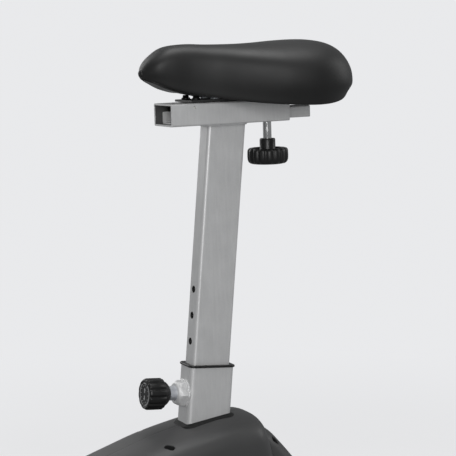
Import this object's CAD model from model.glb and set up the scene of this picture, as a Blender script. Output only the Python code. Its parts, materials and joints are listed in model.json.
import json
import math
import random

import bmesh
import bpy
from mathutils import Matrix, Vector, noise


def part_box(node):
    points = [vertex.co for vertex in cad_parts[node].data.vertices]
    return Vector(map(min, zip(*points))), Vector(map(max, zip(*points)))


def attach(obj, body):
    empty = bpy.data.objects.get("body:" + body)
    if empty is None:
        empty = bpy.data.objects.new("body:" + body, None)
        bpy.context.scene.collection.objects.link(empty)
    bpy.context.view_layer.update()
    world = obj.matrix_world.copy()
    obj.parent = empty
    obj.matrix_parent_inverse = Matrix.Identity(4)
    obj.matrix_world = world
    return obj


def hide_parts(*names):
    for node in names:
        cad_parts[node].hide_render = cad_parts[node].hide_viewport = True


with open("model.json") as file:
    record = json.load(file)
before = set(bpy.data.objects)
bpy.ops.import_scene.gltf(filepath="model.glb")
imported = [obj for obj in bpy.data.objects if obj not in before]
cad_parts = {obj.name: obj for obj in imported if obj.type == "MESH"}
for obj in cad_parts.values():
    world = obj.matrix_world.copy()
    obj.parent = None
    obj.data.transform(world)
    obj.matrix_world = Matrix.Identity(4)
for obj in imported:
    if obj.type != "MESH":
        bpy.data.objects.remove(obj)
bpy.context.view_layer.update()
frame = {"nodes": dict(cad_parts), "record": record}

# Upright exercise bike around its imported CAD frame. Local shapes are in millimetres in the
# same frames as the CAD model and are scaled to metres as they are placed.

MM = 0.001

# Driving places, in metres: top of the seat tube, lean of the seat post, seat rail.
RING = Vector((-0.215, 0.0, 0.487))
LEAN = math.radians(6.1)
RAIL_LOW, RAIL_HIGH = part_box("seat_rail")
RAIL_FRONT = 94.4
POST_LONG, POST_WIDE, POST_CORNER = 60.0, 30.0, 5.0
HOLE_FIRST, HOLE_PITCH, HOLE_COUNT = -154.0, 38.0, 8
TUBE_LONG, TUBE_WIDE, TUBE_CORNER = 70.0, 40.0, 7.0
PIN_DROP = 40.0

POST_FRAME = Matrix.Translation(RING) @ Matrix.Rotation(-LEAN, 4, "Y") @ Matrix.Scale(MM, 4)
RAIL_FRAME = (
    Matrix.Translation((RAIL_HIGH.x - RAIL_FRONT * MM, 0.0, RAIL_LOW.z)) @ Matrix.Scale(MM, 4)
)
WORLD_FRAME = Matrix.Scale(MM, 4)
PIN_AXIS = (
    POST_FRAME @ Matrix.Translation((0, 0, -PIN_DROP)) @ Matrix.Rotation(math.pi / 2, 4, "Y")
)


# ---------------------------------------------------------------- materials

class Nodes:
    """Short ways to add and link shader nodes."""

    def __init__(self, name):
        self.material = bpy.data.materials.new(name)
        self.material.use_nodes = True
        self.tree = self.material.node_tree
        self.shader = self.tree.nodes["Principled BSDF"]
        self.place = self.tree.nodes.new("ShaderNodeTexCoord").outputs["Object"]

    def add(self, kind, inputs=None, **settings):
        item = self.tree.nodes.new("ShaderNode" + kind)
        for key, value in settings.items():
            setattr(item, key, value)
        for key, value in (inputs or {}).items():
            if isinstance(value, bpy.types.NodeSocket):
                self.tree.links.new(value, item.inputs[key])
            else:
                item.inputs[key].default_value = value
        return item

    def noise(self, scale, detail=3.0, rough=0.55, stretch=None):
        place = self.place
        if stretch:
            place = self.add("Mapping", {"Vector": place, "Scale": stretch}).outputs[0]
        return self.add(
            "TexNoise", {"Vector": place, "Scale": scale, "Detail": detail, "Roughness": rough}
        ).outputs["Fac"]

    def spread(self, value, low, high, from_low=0.3, from_high=0.7):
        return self.add(
            "MapRange",
            {"Value": value, "From Min": from_low, "From Max": from_high, "To Min": low,
             "To Max": high},
        ).outputs[0]

    def blend(self, share, first, second):
        item = self.add("Mix", {"Factor": share}, data_type="RGBA")
        item.inputs[6].default_value = (*first, 1.0)
        item.inputs[7].default_value = (*second, 1.0)
        return item.outputs[2]

    def set(self, **values):
        for key, value in values.items():
            socket = self.shader.inputs[key.replace("_", " ")]
            if isinstance(value, bpy.types.NodeSocket):
                self.tree.links.new(value, socket)
            else:
                socket.default_value = value

    def bumps(self, *layers):
        """Each layer is (height, distance in metres, strength)."""
        normal = None
        for height, distance, strength in layers:
            inputs = {"Height": height, "Distance": distance, "Strength": strength}
            if normal:
                inputs["Normal"] = normal
            normal = self.add("Bump", inputs).outputs[0]
        self.tree.links.new(normal, self.shader.inputs["Normal"])


def finish_material(name, low, high, roughness, metallic=0.0, mottle=14.0, grain=900.0,
                    bump=0.00004, bump_strength=0.35, **extra):
    """Colour mottles slowly between low and high; a fine grain roughens the surface."""
    m = Nodes(name)
    fine = m.noise(grain, 2.0, 0.6)
    slow = m.noise(mottle, 4.0, 0.6)
    both = m.add("Mix", {"Factor": 0.35, "A": slow, "B": fine}, data_type="FLOAT").outputs[0]
    m.set(
        Base_Color=m.blend(m.spread(both, 0.0, 1.0), low, high),
        Roughness=m.spread(slow, roughness[0], roughness[1]),
        Metallic=metallic,
        **extra,
    )
    m.bumps((fine, bump, bump_strength), (slow, bump * 4, bump_strength * 0.5))
    return m.material


def grey(value, tint=(1.0, 1.0, 1.0)):
    return tuple(value * part for part in tint)


def make_materials():
    return {
        "silver_paint": silver_paint(),
        "black_paint": finish_material(
            "black_paint", grey(0.018), grey(0.03), (0.3, 0.42), 0.0, 18.0, 900.0),
        "dark_shell": finish_material(
            "dark_shell", grey(0.050, (1, 1, 1.01)), grey(0.060), (0.42, 0.54), 0.0, 9.0, 1500.0,
            0.00005, 0.4),
        "black_plastic": finish_material(
            "black_plastic", grey(0.005), grey(0.011), (0.30, 0.44), 0.0, 40.0, 1300.0,
            0.00004, 0.4, Specular_IOR_Level=0.38),
        "zinc": finish_material(
            "zinc", grey(0.66, (0.94, 0.98, 1.06)), grey(0.88, (0.98, 1.0, 1.03)), (0.26, 0.44),
            0.75, 160.0, 900.0, 0.00006, 0.5),
        "chrome": finish_material(
            "chrome", grey(0.55), grey(0.7), (0.08, 0.2), 1.0, 60.0, 1200.0, 0.00002, 0.3),
        "saddle_skin": saddle_skin(),
        "foam": foam(),
        "rubber": finish_material(
            "rubber", grey(0.006), grey(0.013), (0.5, 0.68), 0.0, 50.0, 700.0, 0.0001, 0.5,
            Specular_IOR_Level=0.3),
        "cast_iron": finish_material(
            "cast_iron", grey(0.07), grey(0.13), (0.4, 0.6), 0.6, 60.0, 500.0, 0.0002, 0.6),
        "nylon": finish_material(
            "nylon", grey(0.6, (1, 1, 0.94)), grey(0.7, (1, 1, 0.95)), (0.4, 0.55), 0.0, 40.0),
        "magnet": finish_material(
            "magnet", grey(0.35), grey(0.45), (0.2, 0.35), 0.9, 80.0),
        "lcd_glass": lcd(),
        "button_rubber": finish_material(
            "button_rubber", (0.28, 0.045, 0.02), (0.36, 0.06, 0.03), (0.5, 0.66), 0.0, 90.0),
        "weld": finish_material(
            "weld", grey(0.66), grey(0.86), (0.3, 0.5), 0.35, 260.0, 1400.0, 0.0003, 0.8),
        "print": finish_material(
            "print", grey(0.5), grey(0.62), (0.3, 0.45), 0.7, 120.0, 1400.0),
        "rail_inside": finish_material(
            "rail_inside", grey(0.055), grey(0.10), (0.5, 0.7), 0.2, 60.0),
        "hole_dark": finish_material(
            "hole_dark", grey(0.003), grey(0.006), (0.7, 0.9), 0.0, 60.0),
    }


def silver_paint():
    """Satin silver paint over steel: metal flake, soft clouding and faint drawn streaks."""
    m = Nodes("silver_paint")
    flake = m.noise(1300.0, 2.0, 0.8)
    clouds = m.noise(26.0, 5.0, 0.65)
    streaks = m.noise(60.0, 3.0, 0.6, stretch=(5.0, 5.0, 0.5))
    slow = m.add("Mix", {"Factor": 0.45, "A": clouds, "B": streaks}, data_type="FLOAT").outputs[0]
    shade = m.add("Mix", {"Factor": 0.4, "A": slow, "B": flake}, data_type="FLOAT").outputs[0]
    m.set(
        Base_Color=m.blend(m.spread(shade, 0.0, 1.0, 0.36, 0.64), grey(0.60), grey(0.72)),
        Roughness=m.spread(slow, 0.36, 0.5),
        Metallic=0.4,
    )
    m.bumps((flake, 0.00004, 0.35), (slow, 0.00012, 0.2))
    return m.material


def saddle_skin():
    """Smooth self-skinned foam: a soft sheen, faint cloudiness and very fine pores."""
    m = Nodes("saddle_skin")
    pores = m.noise(2600.0, 2.0, 0.7)
    clouds = m.noise(11.0, 4.0, 0.6)
    dimples = m.noise(240.0, 2.0, 0.5)
    m.set(
        Base_Color=m.blend(m.spread(clouds, 0.0, 1.0), grey(0.008), grey(0.012, (1, 1, 0.99))),
        Roughness=m.spread(clouds, 0.47, 0.57),
        Specular_IOR_Level=0.42,
    )
    m.bumps((pores, 0.00003, 0.3), (dimples, 0.00006, 0.18))
    return m.material


def foam():
    m = Nodes("foam")
    cells = m.add("TexVoronoi", {"Vector": m.place, "Scale": 900.0}).outputs["Distance"]
    slow = m.noise(35.0, 3.0, 0.6)
    m.set(
        Base_Color=m.blend(m.spread(slow, 0.0, 1.0), grey(0.012), grey(0.022)),
        Roughness=m.spread(slow, 0.75, 0.92),
        Sheen_Weight=0.15,
    )
    m.bumps((cells, 0.0003, 0.55), (slow, 0.0006, 0.4))
    return m.material


def lcd():
    m = Nodes("lcd_glass")
    slow = m.noise(20.0, 2.0, 0.5)
    fine = m.noise(1500.0, 1.0, 0.5)
    m.set(
        Base_Color=m.blend(m.spread(slow, 0.0, 1.0), (0.13, 0.17, 0.13), (0.17, 0.21, 0.16)),
        Roughness=m.spread(slow, 0.08, 0.16),
        Coat_Weight=0.6,
        Coat_Roughness=0.05,
    )
    m.bumps((fine, 0.00001, 0.2))
    return m.material


MATERIALS = make_materials()


# ---------------------------------------------------------------- mesh helpers

def solid(name, verts, faces, place, material, body, smooth=True):
    mesh = bpy.data.meshes.new(name)
    mesh.from_pydata([place @ Vector(v) for v in verts], [], faces)
    mesh.validate()
    mesh.update()
    item = bpy.data.objects.new(name, mesh)
    bpy.context.scene.collection.objects.link(item)
    mesh.materials.append(MATERIALS[material])
    if smooth:
        mesh.shade_smooth()
    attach(item, body)
    return item


def bevel(item, width, segments=3, angle=35.0):
    """Rounds an item's hard edges; width is in millimetres."""
    modifier = item.modifiers.new("round", "BEVEL")
    modifier.width = width * MM
    modifier.segments = segments
    modifier.limit_method = "ANGLE"
    modifier.angle_limit = math.radians(angle)
    modifier.harden_normals = True
    return item


def subdivide(item, levels):
    modifier = item.modifiers.new("smooth", "SUBSURF")
    modifier.levels = levels
    modifier.render_levels = levels
    return item


def loft(rings, closed=False, caps=True):
    """Joins rings of equal length. Closed joins the last ring to the first."""
    count = len(rings[0])
    verts = [point for ring in rings for point in ring]
    faces = []
    last = len(rings) if closed else len(rings) - 1
    for row in range(last):
        here = row * count
        there = (row + 1) % len(rings) * count
        for step in range(count):
            after = (step + 1) % count
            faces.append((here + step, here + after, there + after, there + step))
    if caps and not closed:
        faces.append(tuple(reversed(range(count))))
        faces.append(tuple(range((len(rings) - 1) * count, len(rings) * count)))
    return verts, faces


def lathe(profile, steps, shape=None, closed=False):
    """Turns (radius, height) points round Z. shape(angle, radius, height) may change a radius."""
    rings = []
    for radius, height in profile:
        ring = []
        for step in range(steps):
            angle = 2 * math.pi * step / steps
            reach = shape(angle, radius, height) if shape else radius
            ring.append((reach * math.cos(angle), reach * math.sin(angle), height))
        rings.append(ring)
    return loft(rings, closed=closed)


def rounded_rectangle(long, wide, corner, steps=6):
    """Points of a rounded rectangle in the XY plane, anticlockwise."""
    points = []
    for turn, (sx, sy) in enumerate(((1, 1), (-1, 1), (-1, -1), (1, -1))):
        centre = Vector((sx * (long / 2 - corner), sy * (wide / 2 - corner), 0))
        for step in range(steps + 1):
            angle = math.pi / 2 * (turn + step / steps)
            points.append(centre + corner * Vector((math.cos(angle), math.sin(angle), 0)))
    return points


def even(points, count):
    """The same closed line with evenly spaced points."""
    points = [Vector(point) for point in points]
    lengths = [0.0]
    for here, there in zip(points, points[1:] + points[:1]):
        lengths.append(lengths[-1] + (there - here).length)
    result = []
    segment = 0
    for step in range(count):
        want = lengths[-1] * step / count
        while lengths[segment + 1] < want:
            segment += 1
        span = lengths[segment + 1] - lengths[segment]
        share = (want - lengths[segment]) / span if span else 0.0
        result.append(points[segment].lerp(points[(segment + 1) % len(points)], share))
    return result


def curve_through(values, share):
    """Catmull-Rom value at share 0..1 along a list of equal-length tuples."""
    spot = share * (len(values) - 1)
    index = min(int(spot), len(values) - 2)
    local = spot - index
    before = values[max(index - 1, 0)]
    first, second = values[index], values[index + 1]
    after = values[min(index + 2, len(values) - 1)]
    result = []
    for a, b, c, d in zip(before, first, second, after):
        result.append(
            0.5 * (2 * b + (c - a) * local + (2 * a - 5 * b + 4 * c - d) * local ** 2
                   + (3 * b - a - 3 * c + d) * local ** 3)
        )
    return result


def bead_ring(name, line, radius, place, material, body, lumps, seed):
    """A weld bead: a round section that follows a closed line, with overlapping ripples."""
    count = len(line)
    rings = []
    for step, point in enumerate(line):
        ahead = (line[(step + 1) % count] - line[step - 1]).normalized()
        side = ahead.cross(Vector((0, 0, 1))).normalized()
        up = side.cross(ahead).normalized()
        ripple = abs(math.sin(math.pi * lumps * step / count))
        rough = noise.noise(Vector((step * 0.23, seed, 0.0)))
        size = radius * (0.8 + 0.22 * ripple + 0.22 * rough)
        rings.append([
            point + size * (math.cos(turn) * side + math.sin(turn) * up)
            for turn in (2 * math.pi * part / 10 for part in range(10))
        ])
    verts, faces = loft(rings, closed=True)
    return solid(name, verts, faces, place, material, body)


# ---------------------------------------------------------------- saddle

# Stations along the rail: distance ahead of the post axis, half width, crown height, height
# of the widest point, height of the lower edge, and how far that edge tucks in.
SADDLE = [
    (126, 6, 80, 74, 69.5, 3), (122, 15, 88, 76, 67, 4), (110, 26, 99, 80, 62, 5),
    (90, 32, 111, 82, 53, 5), (60, 37, 114.4, 80, 45, 5), (30, 48, 113.3, 74, 39, 5),
    (0, 68, 112.8, 69, 33, 6), (-30, 88, 113, 66, 28.5, 8), (-60, 104, 114.1, 62, 26, 10),
    (-95, 113, 116.2, 59, 24, 11), (-125, 111, 116.4, 56, 25, 12), (-152, 99, 110.5, 53, 30, 14),
    (-172, 78, 94, 53, 41, 14), (-183, 53, 77, 56, 50, 12),
]
PAN_CLEAR = 46.5


def pad_roof(x, edge):
    """Height of the pad's underside: it lifts clear of the bracket between nose and tail."""
    lift = min(1.0, max(0.0, (70 - x) / 60)) * min(1.0, max(0.0, (x + 170) / 24))
    return edge + 2.0 + lift * (max(PAN_CLEAR, edge + 12) - edge - 2)


def saddle_ring(station):
    """One cross-section: over the crown, round the lower lip and back under the pan."""
    x, half, crown, widest, edge, tuck = station
    over = 30
    points = []
    for step in range(over + 1):
        angle = math.pi * step / over
        across = math.copysign(abs(math.cos(angle)) ** 0.75, math.cos(angle))
        points.append((x, half * across, widest + (crown - widest) * math.sin(angle) ** 0.75))
    lip = min(4.0, half * 0.3)
    roof = pad_roof(x, edge)
    side = []
    for share in (0.25, 0.5, 0.75, 0.92):
        angle = math.pi / 2 * share
        side.append((half - tuck * math.sin(angle) ** 2, widest - (widest - edge) * share ** 0.85))
    side.append((half - tuck - lip * 0.4, edge))
    side.append((half - tuck - lip, edge + 0.5))
    side.append((half - tuck - lip * 1.5, (edge + roof) / 2))
    side.append((max(half - tuck - lip * 2.2, 1.0), roof))
    left = [(x, -y, z) for y, z in side]
    right = [(x, y, z) for y, z in reversed(side)]
    return points + left + [(x, 0, roof)] + right


def end_cap(ring, reach):
    """Rings that close one end of the pad in a soft rounded face."""
    middle = Vector((ring[0][0], 0, (ring[15][2] + ring[-1][2]) / 2))
    caps = []
    for turn in (18, 36, 54, 70, 83):
        angle = math.radians(turn)
        caps.append([
            middle + (Vector(point) - middle) * math.cos(angle) ** 0.8
            + Vector((reach * math.sin(angle), 0, 0)) for point in ring
        ])
    return caps


def make_saddle_pad():
    rings = [saddle_ring(curve_through(SADDLE, step / 84)) for step in range(85)]
    rings = list(reversed(end_cap(rings[0], 3.0))) + rings + end_cap(rings[-1], -5.0)
    verts, faces = loft(rings)
    pad = solid("saddle_cushion", verts, faces, RAIL_FRAME, "saddle_skin", "saddle")
    subdivide(pad, 1)
    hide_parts("saddle_pad")


def make_saddle_pan():
    """Black moulded base under the pad: it fills the pad's underside out to the lip."""
    rings = []
    for step in range(54):
        station = curve_through(SADDLE, 0.02 + 0.9 * step / 53)
        x, half, _, _, edge, tuck = station
        lip = min(4.0, half * 0.3)
        roof = pad_roof(x, edge)
        reach = max(half - tuck - lip * 1.7, 1.0)
        low = roof - 3.6
        rings.append([
            (x, -reach, roof - 0.6), (x, -reach, low + 0.6), (x, -reach + 0.6, low),
            (x, -reach * 0.4, low + 0.4), (x, reach * 0.4, low + 0.4), (x, reach - 0.6, low),
            (x, reach, low + 0.6), (x, reach, roof - 0.6),
        ])
    verts, faces = loft(rings)
    pan = solid("saddle_base_moulding", verts, faces, RAIL_FRAME, "black_plastic", "saddle")
    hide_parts("saddle_pan")


def make_saddle_screws():
    """Zinc screws with black spacers between the bracket's flange and the base moulding."""
    for index, x in enumerate((50.0, 20.0, -66.0)):
        for side, sign in (("left", 1), ("right", -1)):
            place = RAIL_FRAME @ Matrix.Translation((x, sign * 16.8, 36.0))
            verts, faces = lathe([(0.4, 0.0), (5.6, 0.0), (6.4, 0.5), (6.5, 1.0), (6.2, 2.2),
                                  (4.6, 2.8), (4.2, 6.1), (0.4, 6.1)], 36)
            screw = solid(f"saddle_screw_{index}_{side}", verts, faces, place,
                          "black_plastic" if index == 0 else "zinc", "saddle")
            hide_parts("saddle_bolts")


# ---------------------------------------------------------------- hand knobs

def make_clamp_knob():
    """Fluted knob under the rail: a dished top round a raised boss."""
    top = -40.0
    low = -63.0
    outer = 30.0
    flutes = 16
    profile = [
        (6.4, -26.5), (8.0, -26.0), (10.5, -26.0), (11.4, -26.8), (11.5, -28.0), (11.6, -41.5),
        (12.4, -43.0), (14.0, -43.6), (20.0, -43.2), (22.5, -41.8), (23.6, -40.4),
        (24.6, top), (26.4, top), (28.2, top - 0.6), (29.4, top - 2.0), (outer, top - 4.2),
        (outer + 0.2, -52.0), (outer - 0.2, low + 6.0), (outer - 1.6, low + 2.6),
        (outer - 4.2, low + 0.6), (outer - 7.5, low), (14.0, low), (12.5, low + 1.2),
        (8.0, low + 1.8), (0.5, low + 1.8),
    ]

    def fluted(angle, radius, height):
        if radius < 23.0:
            return radius
        weight = min(1.0, (radius - 23.0) / 6.0)
        wave = 0.5 - 0.5 * math.cos(flutes * angle)
        return radius - 1.9 * weight * wave ** 2.2

    verts, faces = lathe(profile, 192, fluted)
    place = RAIL_FRAME @ Matrix.Translation((-72.0, 0, 0))
    knob = solid("clamp_hand_knob", verts, faces, place, "black_plastic", "clamp_screw")
    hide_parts("clamp_knob")


def make_pin_knob():
    """Pull knob of the height pin, with a printed ring and plain tick marks on its face."""
    back = 60.7
    front = 98.2
    outer = 22.6
    flutes = 12
    profile = [
        (4.2, back + 1.0), (10.4, back), (11.4, back + 0.3), (12.4, back + 1.2),
        (14.8, back + 3.0), (17.2, back + 5.6), (18.8, back + 8.6), (19.3, back + 10.4),
        (19.6, back + 10.9), (21.8, back + 11.0), (outer, back + 11.9),
        (outer + 0.1, back + 24.0),
        (outer, front - 4.0), (outer - 0.6, front - 1.8), (outer - 1.8, front - 0.5),
        (outer - 3.2, front), (outer - 4.0, front - 0.1), (outer - 4.3, front - 0.7),
        (12.0, front - 0.8), (0.6, front - 0.8),
    ]

    def fluted(angle, radius, height):
        if radius < 17.0:
            return radius
        depth = 2.2 if height > back + 10.95 and radius > 21.0 else 0.8
        wave = 0.5 + 0.5 * math.cos(flutes * angle)
        return radius - depth * wave ** 4

    verts, faces = lathe(profile, 180, fluted)
    knob = solid("pin_pull_knob", verts, faces, PIN_AXIS, "black_plastic", "height_pin")
    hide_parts("pin_knob")
    make_knob_print(front - 0.75)


def make_knob_print(height):
    """Raised silver print: a rim ring with gaps and a generic two-way arrow."""
    pieces = []
    for start, end in ((10, 150), (165, 200), (215, 345)):
        pieces.append(arc_strip(15.0, 16.6, start, end, height))
    for start in range(0, 360, 30):
        pieces.append(arc_strip(11.6, 13.2, start - 2.5, start + 2.5, height))
    for sign in (1, -1):
        pieces.append(flat_strip([(sign * 2, 1.1), (sign * 6, 1.1), (sign * 6, 2.8),
                                  (sign * 9.4, 0), (sign * 6, -2.8), (sign * 6, -1.1),
                                  (sign * 2, -1.1)], height))
    verts, faces = merge(pieces)
    solid("pin_knob_print", verts, faces, PIN_AXIS, "print", "height_pin", False)


def merge(pieces):
    verts, faces = [], []
    for more, joined in pieces:
        base = len(verts)
        verts += more
        faces += [tuple(base + index for index in face) for face in joined]
    return verts, faces


def arc_strip(inner, outer, start, end, height, thick=0.25):
    steps = max(2, int((end - start) / 5))
    rings = []
    for step in range(steps + 1):
        angle = math.radians(start + (end - start) * step / steps)
        ray = Vector((math.cos(angle), math.sin(angle), 0))
        up = Vector((0, 0, thick))
        foot = Vector((0, 0, height - thick))
        rings.append([ray * inner + foot, ray * outer + foot, ray * outer + foot + 2 * up,
                      ray * inner + foot + 2 * up])
    return loft(rings)


def flat_strip(outline, height, thick=0.25):
    low = [Vector((x, y, height - thick)) for x, y in outline]
    high = [Vector((x, y, height + thick)) for x, y in outline]
    return loft([low, high])


def hexagon_reach(flat, angle):
    """Distance from the middle to the side of a hexagon that is flat mm from its middle."""
    local = (angle + math.pi / 6) % (math.pi / 3) - math.pi / 6
    return flat / math.cos(local)


def make_pin_nut():
    """Big hexagonal weld nut with a turned cone, a rough fillet weld and some spatter."""
    face = TUBE_LONG / 2
    length = 15.7
    flat = 17.0
    bore = 10.6
    steps = 96
    rings = []
    for height, trim in ((0.0, 30.0), (length - 8.4, 30.0), (length - 5.0, 18.2),
                         (length - 1.4, 15.6), (length - 0.4, 14.6), (length, 13.4)):
        ring = []
        for step in range(steps):
            angle = 2 * math.pi * step / steps
            reach = min(hexagon_reach(flat, angle), trim)
            ring.append((reach * math.cos(angle), reach * math.sin(angle), face + height))
        rings.append(ring)
    mouth = [(bore * math.cos(2 * math.pi * step / steps),
              bore * math.sin(2 * math.pi * step / steps), face + length)
             for step in range(steps)]
    inside = [(x, y, face) for x, y, z in mouth]
    verts, faces = loft([inside] + rings + [mouth], closed=True)
    nut = solid("pin_weld_nut", verts, faces, PIN_AXIS, "weld", "frame")
    bevel(nut, 0.6, 2, 24)
    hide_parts("pin_nut")
    line = []
    for step in range(120):
        angle = 2 * math.pi * step / 120
        reach = min(hexagon_reach(flat, angle) + 0.6, 18.6)
        reach += 0.7 * noise.noise(Vector((4 * math.cos(angle), 4 * math.sin(angle), 3.1)))
        line.append(Vector((reach * math.cos(angle), reach * math.sin(angle), face + 0.2)))
    bead_ring("pin_nut_weld", line, 2.3, PIN_AXIS, "weld", "frame", 23, 3.1)
    make_spatter(face)


def make_spatter(face):
    """Small weld beads on the tube and on the nut's flats."""
    random.seed(7)
    pieces = []
    for index in range(15):
        angle = random.uniform(0, 2 * math.pi)
        reach = random.uniform(19.5, 24.0)
        size = random.uniform(0.35, 0.9)
        x = reach * math.cos(angle)
        y = max(-12.0, min(12.0, reach * math.sin(angle)))
        if math.hypot(x, y) < 20.5:
            continue
        profile = [(size * 0.3, size * 0.8), (size * 0.8, size * 0.5), (size, -0.2)]
        verts, faces = lathe(profile, 10)
        pieces.append(([Vector(v) + Vector((x, y, face)) for v in verts], faces))
    verts, faces = merge(pieces)
    solid("pin_nut_spatter", verts, faces, PIN_AXIS, "weld", "frame")


# ---------------------------------------------------------------- seat post details

def make_rail_weld():
    line = even(rounded_rectangle(POST_LONG + 2.4, POST_WIDE + 2.4, POST_CORNER + 1.2, 8), 150)
    line = [point + Vector((0, 0, -0.9)) for point in line]
    bead = bead_ring("rail_weld_bead", line, 1.9, RAIL_FRAME, "weld", "seat_post", 44, 7.7)
    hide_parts("rail_weld")


def make_bush_ring():
    """Black bush flange on the seat tube, with softened edges."""
    profile = [(-0.2, 0.0), (1.6, 0.0), (2.2, 0.5), (2.3, 1.6), (2.0, 2.5), (1.2, 3.0),
               (-2.0, 3.05), (-4.2, 3.0), (-4.9, 2.6)]
    rings = [
        [point + Vector((0, 0, height)) for point in
         rounded_rectangle(TUBE_LONG + 2 * grow, TUBE_WIDE + 2 * grow,
                           max(TUBE_CORNER + grow, 2.2), 8)]
        for grow, height in profile
    ]
    lower = [point + Vector((0, 0, -66.0)) for point in rings[-1]]
    outer = [point + Vector((0, 0, -69.0)) for point in rounded_rectangle(65.8, 35.8, 4.9, 8)]
    neck = [point + Vector((0, 0, -0.2)) for point in rounded_rectangle(65.8, 35.8, 4.9, 8)]
    verts, faces = loft([neck] + rings + [lower, outer], closed=True)
    item = solid("seat_tube_bush_ring", verts, faces, POST_FRAME, "black_plastic", "frame")
    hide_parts("seat_tube_bush")


def make_hole_shadows():
    """Dark rim inside each pin hole of the seat post's front wall."""
    pieces = []
    for index in range(HOLE_COUNT):
        height = HOLE_FIRST + index * HOLE_PITCH
        rim = [(3.2, -2.2), (5.1, -2.2), (5.1, 0.15), (4.3, 0.15), (4.3, -2.0), (3.2, -2.0)]
        verts, faces = lathe(rim, 40, closed=True)
        turned = [Vector((POST_LONG / 2 + z, y, height + x)) for x, y, z in verts]
        pieces.append((turned, faces))
    verts, faces = merge(pieces)
    solid("post_hole_rims", verts, faces, POST_FRAME, "hole_dark", "seat_post")


def make_rail_shadow():
    """Dark lining inside the rail's front mouth."""
    half = 27.3
    low, high = 2.7, 29.3
    front, rear = 93.6, 60.0
    verts = []
    for x in (rear, front):
        verts += [Vector((x, -half, low)), Vector((x, half, low)), Vector((x, half, high)),
                  Vector((x, -half, high))]
    faces = [(0, 1, 5, 4), (1, 2, 6, 5), (2, 3, 7, 6), (3, 0, 4, 7)]
    liner = solid("rail_mouth_inside", verts, faces, RAIL_FRAME, "rail_inside", "seat_post")
    thicken = liner.modifiers.new("wall", "SOLIDIFY")
    thicken.thickness = 0.3 * MM
    thicken.offset = 1.0


# ---------------------------------------------------------------- casing

CRANK = Vector((-63.0, 0.0, 270.0))
CASE_FOOT = 62.0
CASE_OUTLINE = [
    (-246, 62), (-246, 200), (-242, 300), (-234, 350), (-227, 380), (-220, 399), (-206, 408.5),
    (-165, 409.7), (-120, 404.1), (-60, 393), (0, 376.3), (60, 359.5), (96, 358.5), (140, 366),
    (190, 370), (240, 364), (280, 346), (306, 316), (319, 277), (323, 225), (323, 62),
]
TAIL_OUTLINE = [
    (-337, 62), (-337, 180), (-335, 247), (-326, 273), (-305, 300), (-283, 327), (-258, 358),
    (-236, 381), (-210, 391), (-180, 392),
]
CROWN_POWER = 2.6
CASE_HALF, CASE_ROUND, CASE_STEPS = 70.0, 38.0, 170
TAIL_HALF, TAIL_ROUND, TAIL_STEPS = 45.0, 22.0, 110
CASE_WALL = 2.6


def crowned(outline, share, depth):
    """A casing outline drawn in for a share 0..1 of the way from its middle to its side."""
    shrink = depth * (1 - (1 - share ** CROWN_POWER) ** (1 / CROWN_POWER))
    across = 1 - shrink / 300
    down = 1 - shrink / (max(z for x, z in outline) - CASE_FOOT)
    return [(x * across, CASE_FOOT + (z - CASE_FOOT) * down) for x, z in outline]


def case_side(outline, half, depth, sign, count):
    """One half shell: rows run from the seam over the crown to the middle of the side."""
    shares = [0.0, 0.008, 0.02, 0.08, 0.16, 0.25, 0.34, 0.43, 0.52, 0.6, 0.68, 0.75, 0.81, 0.86,
              0.9, 0.935, 0.96, 0.978, 0.99, 0.997, 1.0]
    rings = []
    for share in shares:
        groove = 0.5 * max(0.0, 1 - share / 0.008)
        line = crowned(outline, share, depth)
        rings.append([
            Vector((CRANK.x + x * (1 - groove / 300), sign * max(half * share, 0.12), z - groove))
            for x, z in (curve_through(line, step / (count - 1)) for step in range(count))
        ])
    centre = Vector((CRANK.x + (outline[0][0] + outline[-1][0]) / 2, 0, 190))
    rim = rings[-1]
    for inward, bulge in ((0.03, 0.4), (0.08, 0.7), (0.25, 0.9), (0.6, 0.9), (1.0, 0.9)):
        ring = []
        for point in rim:
            goal = Vector((centre.x, point.y, min(point.z, centre.z)))
            spot = point.lerp(goal, inward)
            ring.append(Vector((spot.x, sign * (half + bulge), spot.z)))
        rings.append(ring)
    faces = []
    for row in range(len(rings) - 1):
        for step in range(count - 1):
            a = row * count + step
            face = (a, a + 1, a + count + 1, a + count)
            faces.append(face if sign < 0 else tuple(reversed(face)))
    return [point for ring in rings for point in ring], faces


def slot_outline(long, wide, steps=12):
    points = []
    for sign in (1, -1):
        for step in range(steps + 1):
            angle = -math.pi / 2 + math.pi * step / steps
            points.append((sign * ((long - wide) / 2 + wide / 2 * math.cos(angle)),
                           sign * wide / 2 * math.sin(angle)))
    return points


# Screw recesses: place on the left side in millimetres, outward direction, and the turn of the
# oblong mouth round that direction in degrees.
RECESSES = (
    ((-127.6, 50.3, 387.5), (0.198, 0.369, 0.908), 70.0),
    ((-303.4, 35.9, 367.3), (-0.598, 0.573, 0.56), 40.0),
)


MOUTH_LONG, MOUTH_WIDE = 16.0, 9.0


def recess_place(spot, outward, turn, sign):
    spot = Vector((spot[0], sign * spot[1], spot[2]))
    outward = Vector((outward[0], sign * outward[1], outward[2]))
    return (
        Matrix.Scale(MM, 4) @ Matrix.Translation(spot)
        @ outward.to_track_quat("Z", "X").to_matrix().to_4x4()
        @ Matrix.Rotation(math.radians(sign * turn), 4, "Z")
    )


def slot_reach(x, y, long, wide):
    """How far a spot lies outside an oblong mouth; inside it is negative."""
    along = max(abs(x) - (long - wide) / 2, 0.0)
    return math.hypot(along, y) - wide / 2


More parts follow.
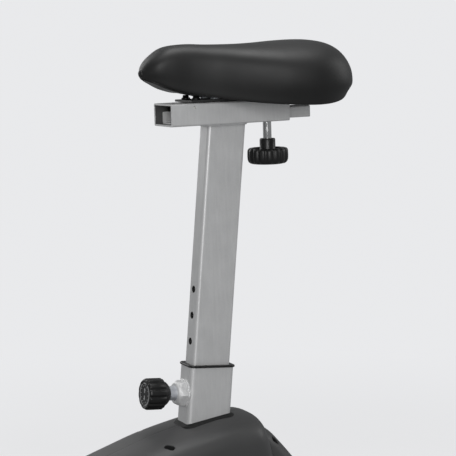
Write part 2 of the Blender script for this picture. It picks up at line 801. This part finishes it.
def open_mouth(item, place):
    """Opens an oblong hole through a shell, whose edge the recess cup's rim then covers."""
    inverse = place.inverted()
    shape = bmesh.new()
    shape.from_mesh(item.data)

    def local(point):
        spot = inverse @ point
        return slot_reach(spot.x, spot.y, MOUTH_LONG, MOUTH_WIDE), abs(spot.z)

    for reach_limit, cuts in ((16.0, 1), (9.0, 1), (5.0, 2)):
        near = [edge for edge in shape.edges
                if any(local(vert.co)[0] < reach_limit and local(vert.co)[1] < 25
                       for vert in edge.verts)]
        bmesh.ops.subdivide_edges(shape, edges=near, cuts=cuts, use_grid_fill=True)
    inside = []
    for face in shape.faces:
        reach, depth = local(face.calc_center_median())
        if reach < 0 and depth < 12:
            inside.append(face)
    bmesh.ops.delete(shape, geom=inside, context="FACES")
    shape.to_mesh(item.data)
    shape.free()


def make_recess(label, place):
    """A black oblong cup with a softened rim, and a cross-head screw on its floor."""
    rings = []
    for grow, depth in ((1.7, 0.2), (1.3, 0.9), (0.3, 1.1), (-0.3, 0.4), (-0.6, -12.0)):
        outline = slot_outline(15.0 + 2 * grow, 8.0 + 2 * grow)
        rings.append([(x, y, depth) for x, y in outline])
    verts, faces = loft([[(x, y, -6.0) for x, y in slot_outline(17.0, 10.0)]] + rings)
    solid(f"{label}_recess_cup", verts, faces, place, "hole_dark", "frame")

    profile = [(0.4, -12.2), (3.4, -12.2), (3.4, -10.6), (3.0, -9.9), (2.0, -9.5), (0.4, -9.4)]
    verts, faces = lathe(profile, 32)
    solid(f"{label}_recess_screw", verts, faces, place, "zinc", "frame")


def make_casing():
    for label, sign in (("left", 1), ("right", -1)):
        main = case_side(CASE_OUTLINE, CASE_HALF, CASE_ROUND, sign, CASE_STEPS)
        tail = case_side(TAIL_OUTLINE, TAIL_HALF, TAIL_ROUND, sign, TAIL_STEPS)
        for part, (verts, faces), recess in (("casing", main, RECESSES[0]),
                                             ("casing_tail", tail, RECESSES[1])):
            place = recess_place(*recess, sign)
            shell = solid(f"{label}_{part}", verts, faces, WORLD_FRAME, "dark_shell", "frame")
            open_mouth(shell, place)
            thick = shell.modifiers.new("wall", "SOLIDIFY")
            thick.thickness = CASE_WALL * MM
            thick.offset = -1
            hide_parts(f"{label}_shroud")
            make_recess(f"{label}_{part}", place)


def casing_top(x, y):
    """Height of the main casing's crown above a place, in millimetres."""
    line = crowned(CASE_OUTLINE, min(abs(y) / CASE_HALF, 1.0), CASE_ROUND)
    crown = [point for point in line if point[1] > 300]
    for (x0, z0), (x1, z1) in zip(crown, crown[1:]):
        if x0 <= x - CRANK.x <= x1:
            return z0 + (z1 - z0) * (x - CRANK.x - x0) / (x1 - x0)
    return crown[0][1]


def make_collar():
    """Rubber collar that hugs the sloping casing round the seat tube."""
    height = 409.0
    axis = -215.0 + (487.0 - height) * math.tan(LEAN)
    profile = [(0.25, -2.0), (6.6, -1.0), (7.4, 0.4), (7.3, 2.2), (6.2, 4.0), (4.4, 5.0),
               (2.4, 5.2), (1.2, 5.6), (0.4, 6.6), (0.25, 6.8)]
    rings = []
    for grow, up in profile:
        ring = []
        for point in rounded_rectangle(TUBE_LONG + 2 * grow, TUBE_WIDE + 2 * grow,
                                       TUBE_CORNER + grow, 8):
            x = axis + point.x
            top = casing_top(x, point.y)
            ring.append((x - up * math.tan(LEAN) * 0.5, point.y, top + up))
        rings.append(ring)
    verts, faces = loft(rings, closed=True)
    item = solid("seat_tube_collar", verts, faces, WORLD_FRAME, "rubber", "frame")
    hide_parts("shroud_collar")


# ---------------------------------------------------------------- grips

def make_grips():
    """Foam sleeves: a slight barrel shape with rounded ends, on the bar's rising ends."""
    profile = [
        (12.6, -118.0), (15.2, -118.2), (16.1, -117.0), (16.4, -114.0), (16.6, -90.0),
        (16.9, -60.0), (16.6, -25.0), (16.3, -2.0), (16.4, 1.0), (15.8, 3.4), (14.0, 4.8),
        (9.0, 5.2), (1.0, 5.2),
    ]
    rise = math.atan2(60.0, 140.0)
    bar_x = (297.0 + 985.0 * math.sin(math.radians(2.4)) - 200.0) * MM
    bar_z = (100.0 + 985.0 * math.cos(math.radians(2.4)) + 60.0) * MM
    for label, sign in (("left", 1), ("right", -1)):
        verts, faces = lathe(profile, 48)
        place = (
            Matrix.Translation((bar_x, sign * 0.240, bar_z))
            @ Matrix.Rotation(rise - math.pi / 2, 4, "Y") @ Matrix.Scale(MM, 4)
        )
        grip = solid(f"{label}_foam_grip", verts, faces, place, "foam", "frame")
        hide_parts(f"{label}_grip")


# ---------------------------------------------------------------- CAD nodes kept as they are

def dress_cad_nodes():
    """Every CAD node gets the procedural finish of its own material slot."""
    slots = {part["node"]: part["material_slot"] for part in frame["record"]["subparts"]}
    for name, item in frame["nodes"].items():
        item.data.materials.clear()
        item.data.materials.append(MATERIALS[slots[name]])


# ---------------------------------------------------------------- stage, lights and camera

BACKDROP = (0.815, 0.82, 0.835, 1.0)
AMBIENT = (0.27, 0.275, 0.28, 1.0)


def make_stage():
    """Pale floor under the bike that runs out into an even pale surround."""
    bpy.ops.mesh.primitive_plane_add(size=60.0, location=(0, 0, -0.0005))
    floor = bpy.context.object
    floor.name = "floor"
    m = Nodes("pale_floor")
    grain = m.noise(3.0, 3.0, 0.5)
    m.set(Base_Color=m.blend(m.spread(grain, 0.0, 1.0), grey(0.52), grey(0.54)), Roughness=0.9,
          Specular_IOR_Level=0.1, Emission_Color=(0.5, 0.5, 0.51, 1.0), Emission_Strength=0.72)
    length = m.add("VectorMath", {0: m.place}, operation="LENGTH").outputs["Value"]
    fade = m.add("MapRange", {"Value": length, "From Min": 0.6, "From Max": 2.4},
                 interpolation_type="SMOOTHSTEP").outputs[0]
    glow = m.add("Emission", {"Color": BACKDROP}).outputs[0]
    mix = m.add("MixShader", {0: fade, 1: m.shader.outputs[0], 2: glow}).outputs[0]
    m.tree.links.new(mix, m.tree.nodes["Material Output"].inputs["Surface"])
    floor.data.materials.append(m.material)
    floor.visible_glossy = False
    floor.visible_diffuse = False


def make_world():
    """An even pale backdrop; the light it sheds on the bike is dimmer and the same all round."""
    world = bpy.data.worlds.new("studio")
    bpy.context.scene.world = world
    world.use_nodes = True
    tree = world.node_tree
    back = tree.nodes["Background"]
    back.inputs["Color"].default_value = BACKDROP
    around = tree.nodes.new("ShaderNodeBackground")
    around.inputs["Color"].default_value = AMBIENT
    seen = tree.nodes.new("ShaderNodeLightPath").outputs["Is Camera Ray"]
    mix = tree.nodes.new("ShaderNodeMixShader")
    tree.links.new(seen, mix.inputs[0])
    tree.links.new(around.outputs[0], mix.inputs[1])
    tree.links.new(back.outputs[0], mix.inputs[2])
    tree.links.new(mix.outputs[0], tree.nodes["World Output"].inputs["Surface"])


def area_light(name, spot, aim, size, power):
    light = bpy.data.lights.new(name, "AREA")
    light.shape = "RECTANGLE"
    light.size, light.size_y = size
    light.energy = power
    item = bpy.data.objects.new(name, light)
    bpy.context.scene.collection.objects.link(item)
    item.location = spot
    item.rotation_euler = (Vector(aim) - Vector(spot)).to_track_quat("-Z", "Y").to_euler()
    item.visible_camera = False


def make_lights():
    middle = (-0.22, 0.0, 0.7)
    area_light("key", (1.1, 2.6, 1.5), middle, (1.3, 1.5), 38.0)
    area_light("top", (-0.35, -0.05, 2.6), middle, (1.1, 0.9), 22.0)
    area_light("rear", (-2.4, 0.4, 1.6), middle, (0.8, 1.4), 10.0)
    area_light("right", (0.4, -2.6, 1.6), middle, (1.4, 1.4), 16.0)


def make_camera():
    """Looks from the rider's front left, a little above the seat."""
    azimuth, elevation = math.radians(26.73), math.radians(7.7)
    back = Vector((
        math.sin(azimuth) * math.cos(elevation), math.cos(azimuth) * math.cos(elevation),
        math.sin(elevation),
    ))
    target = RING + Vector((-0.0406, 0.0, 0.1987))
    camera = bpy.data.cameras.new("camera")
    camera.sensor_width = 36.0
    camera.lens = 110.53
    camera.clip_end = 200.0
    item = bpy.data.objects.new("camera", camera)
    bpy.context.scene.collection.objects.link(item)
    turn = back.to_track_quat("Z", "Y").to_matrix().to_4x4()
    roll = Matrix.Rotation(math.radians(-1.7), 4, "Z")
    item.matrix_world = Matrix.Translation(target + back * 2.039) @ turn @ roll
    bpy.context.scene.camera = item


# ---------------------------------------------------------------- build

dress_cad_nodes()
make_saddle_pad()
make_saddle_pan()
make_saddle_screws()
make_clamp_knob()
make_pin_knob()
make_pin_nut()
make_rail_weld()
make_rail_shadow()
make_hole_shadows()
make_bush_ring()
make_casing()
make_collar()
make_grips()
make_stage()
make_world()
make_lights()
make_camera()
bpy.context.scene.view_settings.view_transform = "Standard"
